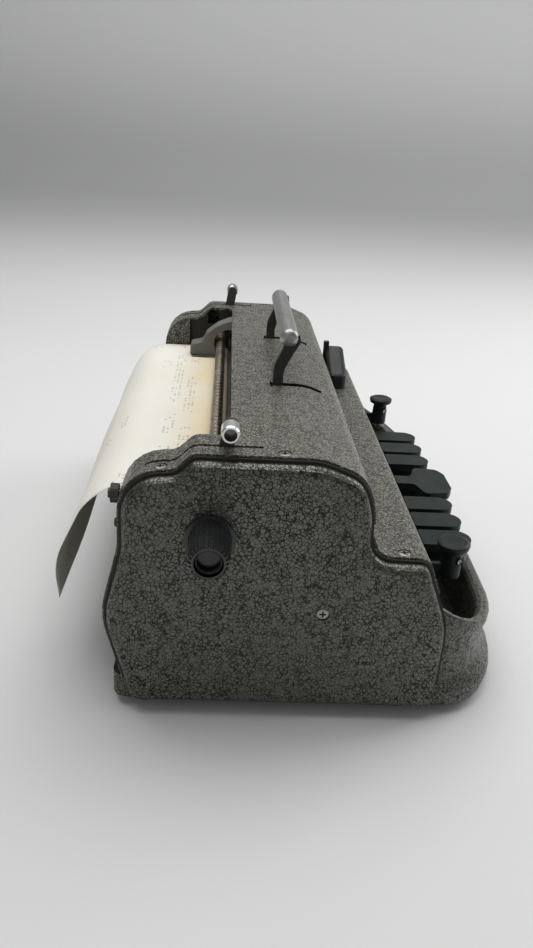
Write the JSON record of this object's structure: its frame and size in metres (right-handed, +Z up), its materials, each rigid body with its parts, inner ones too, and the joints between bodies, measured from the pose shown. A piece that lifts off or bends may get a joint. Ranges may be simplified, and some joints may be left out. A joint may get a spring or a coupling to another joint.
{
  "type": "braille writer",
  "caption": "Manual braille writer with a raised carrying handle, curved dot keys in a front trough, a sliding embossing head on a grooved rod, feed knobs and a loaded sheet of paper.",
  "frame": {"origin": "on the table top under the middle of the machine, within 2 mm of the bounding box bottom centre: midway between the end panels and midway along their length front to back", "axes": "+X runs along the machine from the user's left to right, +Y towards the back where the paper leaves, +Z up; the keys are at -Y"},
  "size_m": [0.3994, 0.2538, 0.182],
  "materials": {
    "case_paint": "hammertone enamel",
    "dark_sheet": "satin",
    "rubber": "matte",
    "nickel": "polished nickel",
    "dark_metal": "dull",
    "steel": "brushed",
    "rod_bronze": "dull bronze",
    "paper": "matte embossed paper",
    "brass": "polished",
    "key_plastic": "satin moulded",
    "aluminium": "satin turned",
    "head_casting": "rough cast"
  },
  "bodies": {
    "case": {"base_casting": "case_paint", "front_apron": "case_paint", "bottom_plate": "dark_sheet", "rubber_feet": "rubber", "left_end_panel": "case_paint", "right_end_panel": "case_paint", "left_seam_strip": "rubber", "right_seam_strip": "rubber", "top_cover": "case_paint", "keyboard_strip": "case_paint", "left_side_plate": "dark_sheet", "right_side_plate": "dark_sheet", "case_screws": "nickel", "rear_screws": "dark_metal", "thumb_nut": "dark_metal", "grooved_rod": "rod_bronze", "smooth_rod": "dark_metal", "handle_shaft": "steel", "carriage_rails": "steel", "rack_bar": "steel", "paper_table": "dark_sheet", "paper_sheet": "paper", "key_shaft": "steel", "key_comb": "dark_sheet", "bell": "brass"},
    "feed": {"feed_roller": "rubber", "left_knob": "key_plastic", "right_knob": "key_plastic", "ratchet_wheel": "steel"},
    "pressure": {"pressure_rollers": "rubber"},
    "detent": {"detent_pawl": "steel"},
    "release_left": {"left_release_lever": "dark_sheet", "left_release_button": "nickel"},
    "release_right": {"right_release_lever": "dark_sheet", "right_release_button": "nickel"},
    "handle": {"handle_grip": "aluminium", "left_handle_arm": "dark_sheet", "right_handle_arm": "dark_sheet"},
    "carriage": {"carriage_body": "head_casting", "embossing_head": "head_casting", "carriage_lever": "key_plastic", "die_block": "rod_bronze"},
    "escapement": {"escapement_pawl": "steel"},
    "drum": {"spring_drum": "steel"},
    "hammer": {"bell_hammer": "steel"},
    "key_1": {"dot_key_1": "key_plastic"},
    "bar_1": {"emboss_bar_1": "steel"},
    "key_2": {"dot_key_2": "key_plastic"},
    "bar_2": {"emboss_bar_2": "steel"},
    "key_3": {"dot_key_3": "key_plastic"},
    "bar_3": {"emboss_bar_3": "steel"},
    "key_4": {"dot_key_4": "key_plastic"},
    "bar_4": {"emboss_bar_4": "steel"},
    "key_5": {"dot_key_5": "key_plastic"},
    "bar_5": {"emboss_bar_5": "steel"},
    "key_6": {"dot_key_6": "key_plastic"},
    "bar_6": {"emboss_bar_6": "steel"},
    "key_space": {"space_key": "key_plastic"},
    "key_line": {"line_space_key": "key_plastic"},
    "key_back": {"backspace_key": "key_plastic"}
  },
  "joints": [
    {"name": "feed_turn", "type": "hinge", "parent": "case", "child": "feed", "pos_m": [0, 0.043, 0.107], "axis": [1, 0, 0], "continuous": true},
    {"name": "pressure_turn", "type": "hinge", "parent": "case", "child": "pressure", "pos_m": [0, 0.043, 0.0924], "axis": [1, 0, 0], "continuous": true},
    {"name": "detent_swing", "type": "hinge", "parent": "case", "child": "detent", "pos_m": [-0.163, 0.062, 0.084], "axis": [1, 0, 0], "range_deg": [-6, 0], "stiffness_Nm_per_rad": 0.05, "springref_deg": 17.19},
    {"name": "release_left_swing", "type": "hinge", "parent": "case", "child": "release_left", "pos_m": [-0.157, 0.043, 0.107], "axis": [1, 0, 0], "range_deg": [-46, 17]},
    {"name": "release_right_swing", "type": "hinge", "parent": "case", "child": "release_right", "pos_m": [0.157, 0.043, 0.107], "axis": [1, 0, 0], "range_deg": [-46, 17]},
    {"name": "handle_fold", "type": "hinge", "parent": "case", "child": "handle", "pos_m": [0, 0.008, 0.126], "axis": [1, 0, 0], "range_deg": [0, 46]},
    {"name": "carriage_slide", "type": "slide", "parent": "case", "child": "carriage", "axis": [1, 0, 0], "range_m": [-0.249, 0.017]},
    {"name": "escapement_swing", "type": "hinge", "parent": "carriage", "child": "escapement", "pos_m": [0.116, 0.002, 0.1005], "axis": [1, 0, 0], "range_deg": [-4, 4], "stiffness_Nm_per_rad": 0.02},
    {"name": "drum_turn", "type": "hinge", "parent": "case", "child": "drum", "pos_m": [0.159, -0.012, 0.072], "axis": [1, 0, 0], "range_deg": [-800, 60]},
    {"name": "hammer_swing", "type": "hinge", "parent": "case", "child": "hammer", "pos_m": [-0.1595, 0.035, 0.08], "axis": [1, 0, 0], "range_deg": [-3, 12], "stiffness_Nm_per_rad": 0.02},
    {"name": "key_1_press", "type": "hinge", "parent": "case", "child": "key_1", "pos_m": [-0.037, 0.005, 0.05], "axis": [1, 0, 0], "range_deg": [0, 4.5], "stiffness_Nm_per_rad": 0.5, "springref_deg": -14.32},
    {"name": "key_2_press", "type": "hinge", "parent": "case", "child": "key_2", "pos_m": [-0.061, 0.005, 0.05], "axis": [1, 0, 0], "range_deg": [0, 4.5], "stiffness_Nm_per_rad": 0.5, "springref_deg": -14.32},
    {"name": "key_3_press", "type": "hinge", "parent": "case", "child": "key_3", "pos_m": [-0.085, 0.005, 0.05], "axis": [1, 0, 0], "range_deg": [0, 4.5], "stiffness_Nm_per_rad": 0.5, "springref_deg": -14.32},
    {"name": "key_4_press", "type": "hinge", "parent": "case", "child": "key_4", "pos_m": [0.037, 0.005, 0.05], "axis": [1, 0, 0], "range_deg": [0, 4.5], "stiffness_Nm_per_rad": 0.5, "springref_deg": -14.32},
    {"name": "key_5_press", "type": "hinge", "parent": "case", "child": "key_5", "pos_m": [0.061, 0.005, 0.05], "axis": [1, 0, 0], "range_deg": [0, 4.5], "stiffness_Nm_per_rad": 0.5, "springref_deg": -14.32},
    {"name": "key_6_press", "type": "hinge", "parent": "case", "child": "key_6", "pos_m": [0.085, 0.005, 0.05], "axis": [1, 0, 0], "range_deg": [0, 4.5], "stiffness_Nm_per_rad": 0.5, "springref_deg": -14.32},
    {"name": "key_space_press", "type": "hinge", "parent": "case", "child": "key_space", "pos_m": [0, 0.005, 0.05], "axis": [1, 0, 0], "range_deg": [0, 4.5], "stiffness_Nm_per_rad": 0.5, "springref_deg": -14.32},
    {"name": "key_line_press", "type": "hinge", "parent": "case", "child": "key_line", "pos_m": [-0.125, 0.005, 0.05], "axis": [1, 0, 0], "range_deg": [0, 4.5], "stiffness_Nm_per_rad": 0.5, "springref_deg": -14.32},
    {"name": "key_back_press", "type": "hinge", "parent": "case", "child": "key_back", "pos_m": [0.125, 0.005, 0.05], "axis": [1, 0, 0], "range_deg": [0, 4.5], "stiffness_Nm_per_rad": 0.5, "springref_deg": -14.32},
    {"name": "bar_1_lift", "type": "slide", "parent": "case", "child": "bar_1", "axis": [0, 0, 1], "range_m": [0, 0.0045]},
    {"name": "bar_2_lift", "type": "slide", "parent": "case", "child": "bar_2", "axis": [0, 0, 1], "range_m": [0, 0.0045]},
    {"name": "bar_3_lift", "type": "slide", "parent": "case", "child": "bar_3", "axis": [0, 0, 1], "range_m": [0, 0.0045]},
    {"name": "bar_4_lift", "type": "slide", "parent": "case", "child": "bar_4", "axis": [0, 0, 1], "range_m": [0, 0.0045]},
    {"name": "bar_5_lift", "type": "slide", "parent": "case", "child": "bar_5", "axis": [0, 0, 1], "range_m": [0, 0.0045]},
    {"name": "bar_6_lift", "type": "slide", "parent": "case", "child": "bar_6", "axis": [0, 0, 1], "range_m": [0, 0.0045]}
  ],
  "couplings": [
    {"joint": "pressure_turn", "follows": "feed_turn", "ratio": -2.0444},
    {"joint": "release_right_swing", "follows": "release_left_swing", "ratio": 1},
    {"joint": "drum_turn", "follows": "carriage_slide", "rad_per_m": 55.556},
    {"joint": "bar_1_lift", "follows": "key_1_press", "m_per_rad": 0.036},
    {"joint": "bar_2_lift", "follows": "key_2_press", "m_per_rad": 0.04},
    {"joint": "bar_3_lift", "follows": "key_3_press", "m_per_rad": 0.044},
    {"joint": "bar_4_lift", "follows": "key_4_press", "m_per_rad": 0.048},
    {"joint": "bar_5_lift", "follows": "key_5_press", "m_per_rad": 0.052},
    {"joint": "bar_6_lift", "follows": "key_6_press", "m_per_rad": 0.056}
  ]
}
